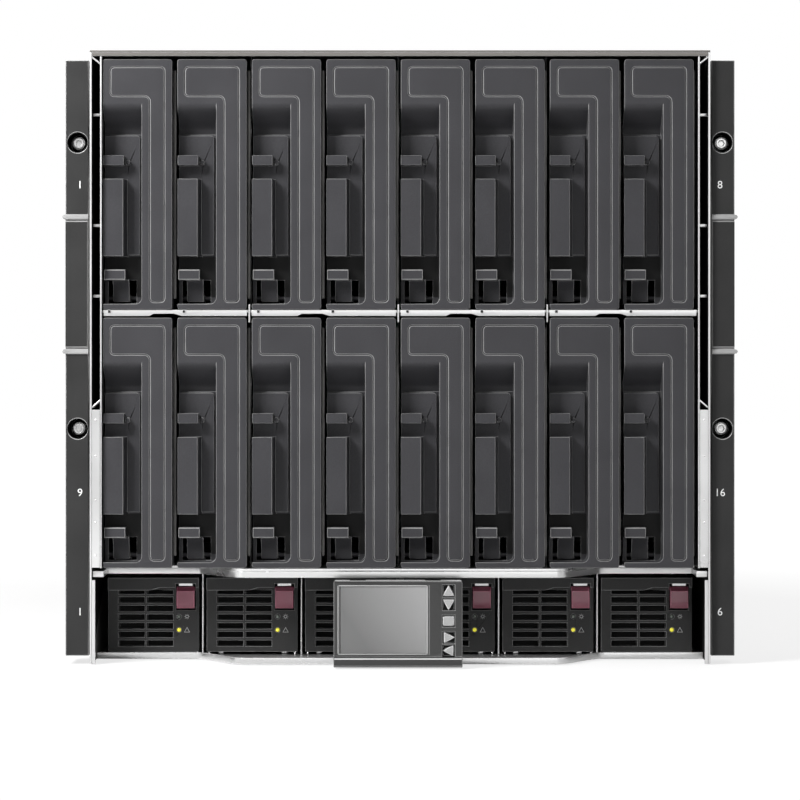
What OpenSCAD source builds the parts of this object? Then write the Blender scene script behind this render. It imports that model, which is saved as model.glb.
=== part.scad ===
// Blade server chassis: a 10U rack enclosure with two rows of eight half-height
// bays, six power supplies under them and a sliding status display in front.
// X runs to the right, Y into the chassis and Z up. The origin lies on the
// bottom face, midway across, in the plane of the rack posts.

/* [Case] */
// Width of the case across its outer side sheets
case_w = 447; // [440:1:456]
// Height of the case
case_h = 442; // [434:1:452]
// Depth of the case from its front edge to its rear edge
case_d = 813; // [790:1:850]
// Thickness of the case sheet
case_t = 1.5; // [1.2:0.1:2]
// How far the front edge stands ahead of the rack posts
front_reach = 40; // [36:1:46]
// Height of the hem along the front edge of the top sheet
top_hem = 4.2; // [3:0.1:6]
// Width of the air duct between the case and each inner side wall
duct_w = 6; // [4:0.5:7]
// Height of the foot of the duct mouth
duct_foot_z = 187; // [160:1:220]

/* [Rack ears] */
// Width across both rack ears
rack_w = 482.6; // [480:0.1:486]
// Thickness of an ear flange
ear_t = 2.5; // [2:0.1:3]
// How far the ear covers stand ahead of the rack posts
ear_depth = 36; // [32:1:42]
// Wall of an ear cover
ear_wall = 2.2; // [1.6:0.1:3]
// Spacing of the rack screws across the rack
screw_span = 465.1; // [464:0.1:466]
// Height of the lower pair of rack screws
screw_low_z = 169.3; // [150:0.1:190]
// Height from the lower pair of rack screws to the upper pair
screw_rise = 206.375; // [174.625:15.875:222.25]
// Radius of a rack screw's thread
screw_r = 3; // [2.5:0.1:3.2]
// Radius of the round cup that a rack screw lies in
screw_cup_r = 7.4; // [6.4:0.1:7.6]

/* [Device bays] */
// Thickness of the sheet of the bay walls
bay_t = 1.2; // [0.8:0.1:1.6]
// Depth from the front edge to the midplane board
bay_depth = 510; // [480:1:540]
// Height of the top of the floor under the lower row
floor_z = 68.7; // [67:0.1:72]
// Height of the shelf between the rows, with its front lip
shelf_h = 5; // [4:0.1:6]
// Gap over each row of blanks
row_gap = 0.8; // [0.6:0.1:2]
// Gap under the top sheet
top_gap = 5; // [4:0.5:8]

/* [Blade blanks] */
// Gap beside each blank
blank_gap = 3.9; // [3.6:0.1:4.6]
// Length of a blank from front to back
blank_d = 150; // [130:1:180]
// Thickness of the moulded front of a blank
bezel_d = 24; // [23:0.5:28]
// Wall of a blank
blank_t = 2.4; // [2:0.1:2.8]
// Depth of the hand recess
recess_d = 17; // [15:0.5:18]
// Width of the hand recess
recess_w = 27.9; // [27:0.1:30]
// Drop of the head above the hand recess
head_h = 31.5; // [30:0.5:34]
// Height of the scoop under the head
scoop_h = 22.7; // [20:0.1:24]
// Height of the grip bar
grip_h = 55.7; // [50:0.1:60]
// Width of the grip bar
grip_w = 14.7; // [12:0.1:16]

/* [Power supplies] */
// Width of a power supply
supply_w = 66.6; // [64:0.1:68]
// Height of a power supply
supply_h = 54.2; // [52:0.1:55]
// Length of a power supply
supply_d = 330; // [280:1:380]
// Height of the underside of a power supply
supply_z = 5.2; // [5:0.1:6]
// Width of the air grille in a power supply
grille_w = 40; // [36:1:42]
// Rows of slots in the air grille
grille_rows = 7; // [5:1:8]

/* [Status display] */
// Width of the status display
display_w = 91.5; // [86:0.5:96]
// Height of the status display
display_h = 54.6; // [52:0.2:56]
// Thickness of the status display
display_t = 14; // [12:0.5:16]
// Height of the underside of the status display's face
display_z = 7.4; // [7:0.1:8]
// How far the display ledge stands ahead of the power supplies
ledge_reach = 46; // [44:1:50]
// Width and height of the screen
screen_size = [63.3, 48.6]; // [40:0.1:64]
// Travel of a button
key_travel = 1.2; // [0.8:0.1:1.4]

/* [Rear] */
// Diameter of a fan's air passage
fan_bore = 76; // [70:1:78]
// Length of a fan module
fan_d = 190; // [150:1:220]
// Blades on a fan rotor
fan_blades = 7; // [5:1:9]
// Height of an interconnect bay
switch_pitch = 40.5; // [38:0.5:41]

/* [Hidden] */
$fn = 48;
columns = 8;
supplies = 6;
fan_columns = 5;
running = 0.3;                       // gap between pieces that slide on each other
seam = 0.1;                          // joint line between sheets that are fixed to each other
function two(n) = str(n < 10 ? "0" : "", n);
blank_names = [for (i = [1:2 * columns]) str("blade_blank_", two(i))];
latch_names = [for (i = [1:2 * columns]) str("blank_latch_", two(i))];
supply_names = [for (i = [1:supplies]) str("power_supply_", i)];
lever_names = [for (i = [1:supplies]) str("supply_lever_", i)];
key_names = ["button_up", "button_down", "button_ok", "button_right", "button_left"];

// places along the depth
front_y = -front_reach;
rear_y = front_y + case_d;
blank_y = front_y + 2;
midplane_y = front_y + bay_depth;
// device bays
inner_half = case_w / 2 - case_t - duct_w - bay_t;
bay_pitch = 2 * inner_half / columns;
blank_w = bay_pitch - blank_gap;
ceiling_z = case_h - case_t - top_gap;
blank_h = (ceiling_z - floor_z - running - shelf_h - row_gap - running) / 2;
row_z = [floor_z + running + blank_h + row_gap + shelf_h + running, floor_z + running];
shelf_z = row_z[0] - running - shelf_h;
blank_side = 0.7;                    // from the left of a bay to its blank
function bay_x(c) = -inner_half + c * bay_pitch;
// front of a blank, from its lower left corner
head_z = blank_h - head_h;
pad_top = head_z - scoop_h;
pad_foot = blank_h - 140.6;
pad_w = recess_w - 2.2;
pad_y = recess_d - 4;
lip_h = 3.9;
grip_foot = pad_foot - 1.1;
tab_foot = grip_foot + grip_h + 10;
tab_h = 7;
pin_r = 1.6;
pin_y = recess_d + 3.6;
pin_z = 8.2;
latch_x = [2.6, 23];
latch_window_h = 17.4;
// power supplies
supply_pitch = (case_w - 2 * case_t - 10.8) / supplies;
supply_side = (supply_pitch - supply_w) / 2;
roof_z = floor_z - 6.4;
lever_w = 13.2;
lever_h = 14.6;
lever_pin_z = supply_h - 8.2;
lever_x = supply_w - 9.6;
lever_reach = 5.5;
lamp_z = [15.9, 25.7];
function supply_x(n) = (n - supplies / 2) * supply_pitch + supply_side;
// ledge and display
ledge_y = front_y - (ledge_reach - front_reach);
ledge_t = 2.5;
ledge_h = supply_z - running;
ledge_end_y = -ledge_t - running;
ledge_half = 112;
ledge_bend = 38;
display_x = -1.4;
display_y = ledge_y - 26;
hinge_y = display_y + 8;
hinge_z = display_z + display_h - 3.4;
hinge_r = 1.4;
lug_r = 3;
lug_w = 10;
lug_x = [-display_w / 2 + 12, display_w / 2 - 26];
screen_x = -display_w / 2 + 4.5;
key_x = display_w / 2 - 9.8;
key_rise = [47.5, 37.9, 26.1, 14.4, 5.1];
// rear bays, from the bottom up
fan_pitch = (case_w - 2 * case_t) / fan_columns;
fan_h = 86;
rear_floor = [roof_z, roof_z + fan_h + 3, roof_z + fan_h + 35, roof_z + fan_h + 35 + 4 * switch_pitch];
fan_body_h = fan_h - 2.2;
fan_z = [for (z = [rear_floor[0], rear_floor[3]]) z + case_t + running + fan_body_h / 2];

// A block between three pairs of limits
module slab(x, y, z) {
    translate([x[0], y[0], z[0]]) cube([x[1] - x[0], y[1] - y[0], z[1] - z[0]]);
}
// Gives an outline in X and Z its thickness along Y
module along_y(y0, y1) {
    translate([0, y1, 0]) rotate([90, 0, 0]) linear_extrude(y1 - y0) children();
}
// Gives an outline in Y and Z its thickness along X
module along_x(x0, x1) {
    translate([x0, 0, 0]) rotate([90, 0, 90]) linear_extrude(x1 - x0) children();
}
// Points on an arc about c
function arc(c, r, a0, a1, n = 5) =
    [for (i = [0:n]) c + r * [cos(a0 + (a1 - a0) * i / n), sin(a0 + (a1 - a0) * i / n)]];
// Corners of a rounded rectangle between two opposite corners
function rounded(a, b, r) = concat(
    arc([b[0] - r, a[1] + r], r, -90, 0), arc([b[0] - r, b[1] - r], r, 0, 90),
    arc([a[0] + r, b[1] - r], r, 90, 180), arc([a[0] + r, a[1] + r], r, 180, 270));
// Mirrors a piece to both sides of the chassis
module both_sides() {
    children();
    mirror([1, 0, 0]) children();
}
function smooth(t) = t * t * (3 - 2 * t);

// ---- case ----

module enclosure_case() color("silver") {
    half = case_w / 2;
    ear_z = [6, case_h - 7];
    inner = half - case_t - seam;
    // top sheet with its rolled front hem, and bottom sheet
    slab([-half, half], [front_y, rear_y], [case_h - case_t, case_h]);
    slab([-inner, inner], [front_y, front_y + 8], [case_h - top_hem, case_h - case_t - seam]);
    slab([-inner, inner], [0, rear_y], [0, case_t]);
    both_sides() {
        // side sheet
        slab([half - case_t, half], [front_y, rear_y], [0, case_h - case_t - seam]);
        // folded front edge beside the power supplies
        slab([half - 4, inner], [front_y, front_y + 2], [0, roof_z - 2]);
        // plate that closes the lower end of the air duct
        slab([inner_half + bay_t + seam, inner], [front_y, front_y + case_t], [roof_z + 7, duct_foot_z - 4]);
        // ear with its screw holes
        difference() {
            slab([half + seam, rack_w / 2], [-ear_t, 0], ear_z);
            for (z = [screw_low_z, screw_low_z + screw_rise])
                translate([screw_span / 2, 1, z]) rotate([90, 0, 0]) cylinder(r = screw_r + 0.4, h = ear_t + 2);
        }
    }
}

module ear_covers() color("dimgray") {
    inner = case_w / 2 + 1;
    outer = rack_w / 2;
    foot = 5.5;
    top = case_h - 7;
    back = -ear_t;
    cup_back = -ear_t - 7;
    rib = 3;
    both_sides() {
        difference() {
            union() {
                slab([inner, outer], [-ear_depth, back], [foot, top]);
                // finger ribs whose tips stand proud of the ear
                for (z = [screw_low_z + 152.7, screw_low_z + 55.7])
                    along_y(-ear_depth - 1.6, back - 4) polygon([
                        [inner, z - rib / 2], [outer + 1.4, z - rib / 2], [outer + 2.3, z],
                        [outer + 1.4, z + rib / 2], [inner, z + rib / 2]]);
                // slightly raised stretch between the ribs
                slab([inner + 1, outer], [-ear_depth - 0.8, -ear_depth],
                     [screw_low_z + 58.7, screw_low_z + 149.7]);
            }
            difference() {
                slab([inner + ear_wall, outer - ear_wall], [-ear_depth + ear_wall, back + 1],
                     [foot + ear_wall, top - ear_wall]);
                for (z = [screw_low_z, screw_low_z + screw_rise])
                    translate([screw_span / 2, back, z]) rotate([90, 0, 0])
                        cylinder(r = screw_cup_r + 1.2, h = ear_depth);
            }
            for (z = [screw_low_z, screw_low_z + screw_rise]) translate([screw_span / 2, 0, z]) rotate([90, 0, 0]) {
                translate([0, 0, -cup_back]) cylinder(r = screw_cup_r, h = ear_depth);
                cylinder(r = screw_r + 1.4, h = ear_depth);
            }
        }
    }
}

module rack_screws() color("gainsboro") {
    head_r = 4.6;
    head_y = -ear_depth + 8;
    for (x = [-screw_span / 2, screw_span / 2], z = [screw_low_z, screw_low_z + screw_rise])
        translate([x, 0, z]) rotate([90, 0, 0]) difference() {
            union() {
                translate([0, 0, -16]) cylinder(r = screw_r, h = 16 - head_y - 5);
                translate([0, 0, ear_t]) cylinder(r = screw_r + 1, h = 3);
                translate([0, 0, -head_y - 6]) cylinder(r = head_r, h = 5);
                translate([0, 0, -head_y - 1]) cylinder(r = head_r - 0.8, h = 1);
            }
            translate([0, 0, -head_y - 3.2]) cylinder(r = 2.3, h = 4, $fn = 6);
        }
}

// ---- device bays ----

// Plan of a sheet whose front edge bulges forward between the ends
function bulge(ends_y, mid_y, half, back_y) = concat(
    [[-half, back_y], [-half, ends_y]],
    [for (i = [0:10]) [-ledge_half - ledge_bend * (1 - i / 10), ends_y + (mid_y - ends_y) * smooth(i / 10)]],
    [for (i = [0:10]) [ledge_half + ledge_bend * i / 10, mid_y + (ends_y - mid_y) * smooth(i / 10)]],
    [[half, ends_y], [half, back_y]]);

// A strip that follows the bulging front edge
module ledge_strip(ends_y, mid_y, half, t, z) {
    translate([0, 0, z[0]]) linear_extrude(z[1] - z[0]) difference() {
        polygon(bulge(ends_y, mid_y, half, ends_y + t));
        polygon(bulge(ends_y + t, mid_y + t, half + 1, ends_y + t + 60));
    }
}

module device_bay_cage() color("lightgray") {
    wall_x = [inner_half, inner_half + bay_t];
    wall_top = case_h - case_t;
    mouth_top = case_h - top_hem - 6;
    partition_x = blank_gap - blank_side - 1.4;
    duct_x = [wall_x[1] + seam, case_w / 2 - case_t - seam];
    both_sides() {
        // inner side wall, lower where it passes under the hem
        slab(wall_x, [front_y + 0.5, midplane_y], [floor_z + seam, case_h - top_hem - seam]);
        slab(wall_x, [front_y + 8 + seam, midplane_y], [floor_z + seam, wall_top - seam]);
        // slanted ends of the duct mouth
        along_y(front_y + 0.5, front_y + 30) {
            polygon([[duct_x[0], mouth_top], [duct_x[0], mouth_top + 1.4],
                     [duct_x[1], mouth_top + 6], [duct_x[1], mouth_top + 4.6]]);
            polygon([[duct_x[0], duct_foot_z + 2], [duct_x[0], duct_foot_z + 3.4],
                     [duct_x[1], duct_foot_z - 1.6], [duct_x[1], duct_foot_z - 3]]);
        }
        // bars that hold the duct mouth open
        for (z = [265, 316, 396]) slab(duct_x, [front_y + 9, front_y + 12], [z - 1, z + 1]);
    }
    // partitions between pairs of bays, each with a tab at the shelf
    for (c = [2, 4, 6]) {
        x = bay_x(c) - partition_x;
        slab([x, x + bay_t], [front_y + 22, midplane_y], [floor_z + seam, wall_top - seam]);
        slab([x, x + bay_t], [front_y + 3, front_y + 22 - seam], [shelf_z - 4, shelf_z + shelf_h + 4]);
    }
    // shelf in each pair of bays, with its stepped front lip
    for (c = [0:2:columns - 2]) {
        left = seam + (c == 0 ? -inner_half : bay_x(c) - partition_x + bay_t);
        right = (c == columns - 2 ? inner_half : bay_x(c + 2) - partition_x) - seam;
        slab([left, right], [front_y + 5 + seam, midplane_y], [shelf_z + shelf_h - 2, shelf_z + shelf_h]);
        along_y(front_y + 3, front_y + 5) polygon([
            [left + 1, shelf_z + shelf_h], [left + 1, shelf_z + 0.6], [left + 34, shelf_z + 0.6],
            [left + 37, shelf_z + 2.2], [left + 52, shelf_z + 2.2], [left + 57, shelf_z + 0.6],
            [right - 1, shelf_z + 0.6], [right - 1, shelf_z + shelf_h]]);
        // catch for the latch of each blank
        for (b = [0, 1])
            slab([bay_x(c + b) + 4.2, bay_x(c + b) + 6.4], [front_y + 1.8, front_y + 3 - seam],
                 [shelf_z + 2.6, shelf_z + shelf_h]);
    }
    // floor of the lower row and its bulging lip
    translate([0, 0, floor_z - 2]) linear_extrude(2)
        polygon(bulge(-1, ledge_y + 2, inner_half + bay_t, midplane_y));
    ledge_strip(-1, ledge_y + 2, inner_half - 1 - seam, 2, [roof_z, floor_z - 2 - seam]);
    both_sides() slab([inner_half - 1, duct_x[1]], [front_y + 4, midplane_y], [roof_z, floor_z - 2 - seam]);
}

module blank_front() {
    w = blank_w;
    h = blank_h;
    groove = 1;
    // step of the engraved outline: wide head, then a column beside the recess
    function seven(inset) = concat(
        arc([w - 5 - 3.5, 4.8 + 3.5], 3.5 - inset, -90, 0), arc([w - 5 - 3.5, h - 5 - 3.5], 3.5 - inset, 0, 90),
        arc([4.8 + 3.5, h - 5 - 3.5], 3.5 - inset, 90, 180), arc([4.8 + 3.5, h - 27 + 3.5], 3.5 - inset, 180, 270),
        arc([recess_w + 5.4 - 3.5, h - 27 - 3.5], 3.5 + inset, 90, 0),
        arc([recess_w + 5.4 + 3.5, 4.8 + 3.5], 3.5 - inset, 180, 270));
    difference() {
        along_y(0, bezel_d) polygon(rounded([0, 0], [w, h], 1.6));
        // hollow behind the head and the column
        slab([blank_t, w - blank_t], [3, bezel_d + 1], [head_z + 4, h - blank_t]);
        slab([recess_w + blank_t, w - blank_t], [3, bezel_d + 1], [blank_t, head_z + 5]);
        // hollow behind the pad
        slab([blank_t, recess_w - 1], [recess_d + 3, bezel_d + 1], [latch_window_h + 12, pad_top - 2]);
        // hand recess, open to the left
        along_y(-1, recess_d) polygon(concat(
            [[-1, pad_top + 2], [-1, lip_h]], arc([recess_w - 4.5, lip_h + 4.5], 4.5, -90, 0),
            [[recess_w, pad_top + 2]]));
        // scoop that runs down into it
        along_x(-1, recess_w) polygon(concat(
            [[-1, pad_top + 1], [-1, head_z]],
            [for (i = [0:10]) [20 * smooth(i / 10), head_z - scoop_h * 0.82 * i / 10]],
            [[20, pad_top + 1]]));
        // engraved outline
        along_y(-1, 0.8) difference() {
            polygon(seven(0));
            polygon(seven(groove));
        }
        // window round the latch
        slab(latch_x, [recess_d - 1, bezel_d + 1], [lip_h + 0.7, lip_h + latch_window_h]);
        // opening under the arm of the latch
        slab([latch_x[0] + 3, latch_x[1] - 3], [recess_d + 3, bezel_d + 1], [-1, lip_h + 2]);
        // bores for the latch pin
        along_x(latch_x[0] - 1.6, latch_x[1] + 1.6) translate([pin_y, pin_z]) circle(r = pin_r + 0.18);
    }
    // raised pad
    along_y(pad_y, recess_d + 0.2) polygon(concat(
        [[0.3, pad_foot], [pad_w, pad_foot]], arc([pad_w - 2.5, pad_top - 2.5], 2.5, 0, 90), [[0.3, pad_top]]));
    // finger tab and its pin boss
    slab([0, grip_w], [3, pad_y + 0.2], [tab_foot, tab_foot + tab_h]);
    translate([grip_w + 2.6, pad_y + 0.2, tab_foot + 2.2]) rotate([90, 0, 0]) cylinder(r = 1.7, h = 6);
    // grip bar with one sloping side
    translate([0, 0, grip_foot]) linear_extrude(grip_h)
        polygon([[0, 1.5], [grip_w - 0.6, 1.5], [grip_w, 2.1], [grip_w + 2.4, recess_d + 0.2], [0, recess_d + 0.2]]);
}

module blade_blank() {
    w = blank_w;
    h = blank_h;
    back = blank_d;
    color("dimgray") {
        blank_front();
        // guide frame: top rail, bottom rail with the latch opening, web and rear tie
        frame_y = [bezel_d + seam, back - 2 - seam];
        slab([1.5, w - 1.5], frame_y, [h - 3.5, h - 1.5]);
        difference() {
            slab([1.5, w - 1.5], frame_y, [0, 3.5]);
            slab([latch_x[0] + 3, latch_x[1] - 3], [bezel_d - 1, bezel_d + 12], [-1, 5]);
        }
        difference() {
            slab([w / 2 - 1, w / 2 + 1], [bezel_d + 14, frame_y[1]], [3.5 + seam, h - 3.5 - seam]);
            for (z = [10, 10 + (h - 16) / 3, 10 + 2 * (h - 16) / 3])
                along_x(w / 2 - 2, w / 2 + 2)
                    polygon(rounded([bezel_d + 22, z], [back - 10, z + (h - 16) / 3 - 8], 6));
        }
        difference() {
            slab([1.5, w - 1.5], [back - 2, back], [0, h - 1.5]);
            for (z = [10, h / 2 + 4])
                along_y(back - 3, back + 1) polygon(rounded([6, z], [w - 6, z + h / 2 - 14], 5));
        }
    }
    // sheet shield beside the frame, with its turned front edge
    color("silver") {
        slab([w + seam, w + 1], [14, back - 40], [8, h - 7]);
        slab([w + seam, w + 2.2], [12.6, 14 - seam], [8, h - 7]);
    }
}

// T-shaped release latch that rocks on a pin in the foot of a blank
module blank_latch() color("dimgray") {
    bar_foot = lip_h + latch_window_h - 0.4;
    along_x(0.4, 15.8) polygon([
        [4.6, bar_foot + 0.4], [4, bar_foot + 1], [4, bar_foot + 7.4], [4.6, bar_foot + 8],
        [recess_d - 0.5, bar_foot + 8], [recess_d - 0.5, bar_foot]]);
    // stem, hollowed in front, down to the pin
    along_x(latch_x[0] + 3.4, latch_x[1] - 5) polygon([
        [11, bar_foot + 1], [11, bar_foot], [13.6, bar_foot - 3.5], [recess_d - 2, bar_foot - 7], [recess_d - 1.6, pin_z + 2.4],
        [recess_d - 1.6, pin_z - 2.4], [pin_y, pin_z - 2.4], [pin_y + 1.6, pin_z], [pin_y, pin_z + 2.4],
        [recess_d - 0.5, bar_foot], [recess_d - 0.5, bar_foot + 1]]);
    // pin, and the arm behind it that ends in the hook
    along_x(latch_x[0] - 1.3, latch_x[1] + 1.3) translate([pin_y, pin_z]) circle(r = pin_r);
    along_x(latch_x[0] + 4, latch_x[1] - 4) polygon([
        [pin_y, pin_z + 2], [pin_y, pin_z - 2], [bezel_d + 3, 0.6], [bezel_d + 7, 0.4], [bezel_d + 7, 3.4],
        [bezel_d + 4.4, 3.6]]);
}

module at_blank(i) {
    translate([bay_x(i % columns) + blank_side, blank_y, row_z[floor(i / columns)]]) children();
}

// ---- power supplies ----

module power_tray() color("silver") {
    ledge_strip(ledge_end_y, ledge_y, case_w / 2 - case_t - 0.4, ledge_t, [0.4, ledge_h]);
    // floor behind the lip, under the power supplies
    floor_top = case_t + 1.5;
    translate([0, 0, case_t + seam]) linear_extrude(1.5 - seam)
        polygon(bulge(-running, ledge_y + ledge_t, case_w / 2 - case_t - 0.4, supply_d + 10));
    for (n = [1:supplies - 1]) {
        x = (n - supplies / 2) * supply_pitch;
        slab([x - 0.6, x + 0.6], [0, supply_d], [floor_top + seam, roof_z - seam]);
        // turned tabs at the foot of each divider
        both = [-5.2, 4];
        for (dx = both) slab([x + dx, x + dx + 1.2], [0, 6], [floor_top + seam, supply_z - running]);
    }
    // runners
    for (n = [0:supplies - 1], dx = [8, supply_w - 12])
        slab([supply_x(n) + dx, supply_x(n) + dx + 4], [8, supply_d], [floor_top + seam, supply_z - running]);
}

module power_supply() {
    w = supply_w;
    h = supply_h;
    grille_x = 7.6;
    slot_pitch = 6.35;
    slot_h = 4.3;
    face_d = 14;
    visor = 7.5;
    lever_pocket = [lever_x - lever_w / 2 - 0.6, lever_x + lever_w / 2 + 0.6];
    color("dimgray") difference() {
        union() {
            slab([0, w], [0, face_d], [0, h]);
            // visor over the face, with its stepped lower edge
            along_y(-3, 0) polygon(concat(
                [[0, h], [0, h - visor - 1.6], [30, h - visor - 1.6]],
                [for (i = [0:6]) [30 + 9 * i / 6, h - visor - 1.6 + 2 * smooth(i / 6)]],
                [[lever_pocket[0], h - visor + 0.4], [lever_pocket[0], h - 5.6], [lever_pocket[1], h - 5.6],
                 [lever_pocket[1], h - visor + 0.4], [w, h - visor + 0.4], [w, h]]));
        }
        for (r = [0:grille_rows - 1], c = [0, 1])
            slab([grille_x + c * (grille_w + 1.7) / 2, grille_x + c * (grille_w + 1.7) / 2 + (grille_w - 1.7) / 2],
                 [-1, 9], [4 + r * slot_pitch, min(4 + r * slot_pitch + slot_h, h - visor - 1.7)]);
        // pocket behind the release lever
        slab(lever_pocket, [-4, 10], [lever_pin_z - lever_h - 1, h - 4.2]);
        // bore of the lever's pin
        along_x(lever_pocket[0] - 1.4, lever_pocket[1] + 1.4) translate([2.4, lever_pin_z]) circle(r = 1.35);
        // lamp holes
        for (z = lamp_z) translate([lever_x - 5.1, 1, z]) rotate([90, 0, 0]) cylinder(r = 1.8, h = 3);
    }
    color("silver") difference() {
        slab([0.6, w - 0.6], [face_d + seam, supply_d], [0, h - 0.6]);
        slab([2, w - 2], [face_d + 1.5, supply_d - 1.5], [1.4, h - 2]);
        for (r = [0:4]) slab([5, w - 5], [supply_d - 6, supply_d + 1], [6 + r * 9, 11 + r * 9]);
    }
    color("darkgray") slab([lever_pocket[0] + 2, lever_pocket[1] - 2], [-2.4, -0.6], [h - 5.8, h - 4.2]);
}

// Release lever of a power supply, hung from a pin along its top
module supply_lever() color("indianred") {
    along_x(lever_x - lever_w / 2, lever_x + lever_w / 2) polygon([
        [2.4, lever_pin_z + 1.8], [-1.4, lever_pin_z + 1.6], [-4.6, lever_pin_z - 1.4], [-lever_reach, lever_pin_z - 9],
        [-lever_reach, lever_pin_z - 11.4], [-4.2, lever_pin_z - lever_h + 0.8], [-2, lever_pin_z - lever_h + 0.4],
        [-1, lever_pin_z - 10], [1.6, lever_pin_z - 3], [4.2, lever_pin_z]]);
    along_x(lever_x - lever_w / 2 - 1.8, lever_x + lever_w / 2 + 1.8) translate([2.4, lever_pin_z]) circle(r = 1.2);
}

module at_supply(n) {
    translate([supply_x(n), 0, supply_z]) children();
}

// ---- status display ----

module display_carriage() color("dimgray") {
    half = display_w / 2 - 6;
    plate_y = [ledge_y - 9, ledge_y - 5];
    translate([display_x, 0, 0]) {
        // shoe that hooks over the ledge
        difference() {
            slab([-half, half], [ledge_y - 5, ledge_y + ledge_t + 3.4], [case_t + 1.9, ledge_h + 5]);
            slab([-half - 1, half + 1], [ledge_y - running, ledge_y + ledge_t + running], [0, ledge_h + running]);
        }
        slab([-half, half], plate_y, [case_t + 1.9, hinge_z - 9]);
        // lugs round the hinge pins
        for (x = lug_x) difference() {
            along_x(x, x + lug_w) {
                translate([hinge_y, hinge_z]) circle(r = lug_r);
                polygon([[hinge_y - 1, hinge_z - lug_r + 0.1], [plate_y[1], hinge_z - 15], [plate_y[1], hinge_z - 9],
                         [hinge_y + 2.4, hinge_z + 2]]);
            }
            along_x(x - 1, x + lug_w + 1) translate([hinge_y, hinge_z]) circle(r = hinge_r + 0.18);
        }
        // stiffening ribs at the back
        for (x = [-half + 1, 0, half - 3]) slab([x, x + 2], [ledge_y - 5, ledge_y - 2.4], [ledge_h + 5, hinge_z - 12]);
    }
}

module display_panel() {
    half = display_w / 2;
    back = display_y + display_t - 2.8;
    pull_z = 0.6;
    translate([display_x, 0, 0]) {
        color("dimgray") difference() {
            union() {
                along_y(display_y, back) polygon(rounded([-half, display_z], [half, display_z + display_h], 1.6));
                // lip that pulls the foot of the panel out
                along_x(-half, half) polygon([
                    [display_y, display_z + 1], [display_y - 2, display_z], [display_y - 2, pull_z + 1],
                    [display_y - 1, pull_z], [display_y + 7, pull_z], [display_y + 7, display_z + 1]]);
            }
            // recess of the screen
            slab([screen_x, screen_x + screen_size[0]], [display_y - 1, display_y + 1.2],
                 [display_z + 2.6, display_z + 2.6 + screen_size[1]]);
            // pockets for the carriage lugs, open above and behind
            for (x = lug_x) slab([x - 0.4, x + lug_w + 0.4], [hinge_y - lug_r - 0.5, back + 1],
                                 [hinge_z - 16, hinge_z + 8]);
            // wells of the buttons
            for (z = key_rise) slab([key_x - 4.4, key_x + 4.4], [display_y - 1, display_y + 5],
                                    [display_z + z - 4.2, display_z + z + 4.2]);
        }
        // hinge pins across the pockets
        color("silver") for (x = lug_x)
            along_x(x - 0.4, x + lug_w + 0.4) translate([hinge_y, hinge_z]) circle(r = hinge_r);
        // screen
        color("gray") slab([screen_x + 0.2, screen_x + screen_size[0] - 0.2], [display_y + 0.6, display_y + 1.2],
                           [display_z + 2.8, display_z + 2.4 + screen_size[1]]);
    }
}

// One button: a shaped cap on a guide block
module key(i) color("lightgray") {
    z = display_z + key_rise[i];
    caps = [
        [[-4, -3.4], [4, -3.4], [0, 3.6]], [[-4, 3.4], [4, 3.4], [0, -3.6]],
        rounded([-4, -3.2], [4, 3.2], 0.8), [[-3.2, -3.8], [3.8, 0], [-3.2, 3.8]],
        [[3.2, -3.8], [-3.8, 0], [3.2, 3.8]]];
    translate([display_x + key_x, 0, z]) {
        along_y(display_y - 0.5, display_y + 2) polygon(caps[i]);
        along_y(display_y + 2, display_y + 5 - key_travel - running) polygon(rounded([-4, -3.8], [4, 3.8], 0.8));
    }
}

// ---- inside and rear ----

module midplane_board() {
    board_x = inner_half + bay_t - 0.4;
    color("darkgreen") difference() {
        slab([-board_x, board_x], [midplane_y, midplane_y + 4], [floor_z + 2, case_h - case_t - 1]);
        // air slots over and under each row
        for (c = [0:columns - 1], z = [row_z[0] + 8, row_z[0] + blank_h - 24, row_z[1] + 8, row_z[1] + blank_h - 24])
            slab([bay_x(c) + 8, bay_x(c) + 44], [midplane_y - 1, midplane_y + 5], [z, z + 16]);
    }
    // a connector for each bay
    color("gainsboro") for (c = [0:columns - 1], z = row_z)
        slab([bay_x(c) + 14, bay_x(c) + 36], [midplane_y - 16, midplane_y], [z + blank_h / 2 - 34, z + blank_h / 2 + 34]);
}

module rear_cage() color("lightgray") {
    half = case_w / 2 - case_t;
    rear_y0 = midplane_y + 20;
    back = rear_y - 6;
    for (z = rear_floor) slab([-half + seam, half - seam], [rear_y0, back], [z, z + case_t]);
    // fan dividers
    for (n = [1:fan_columns - 1], z = [rear_floor[0], rear_floor[3]]) {
        x = (n - fan_columns / 2) * fan_pitch;
        slab([x - 0.5, x + 0.5], [rear_y - fan_d - 6, back],
             [z + case_t + seam, (z == rear_floor[0] ? rear_floor[1] : case_h - case_t) - seam]);
    }
    // interconnect bays
    slab([-0.75, 0.75], [rear_y0, back], [rear_floor[2] + case_t + seam, rear_floor[3] - seam]);
    for (k = [1:3]) both_sides()
        slab([0.75 + seam, half - seam], [rear_y0, back],
             [rear_floor[2] + k * switch_pitch, rear_floor[2] + k * switch_pitch + 1]);
}

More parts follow.
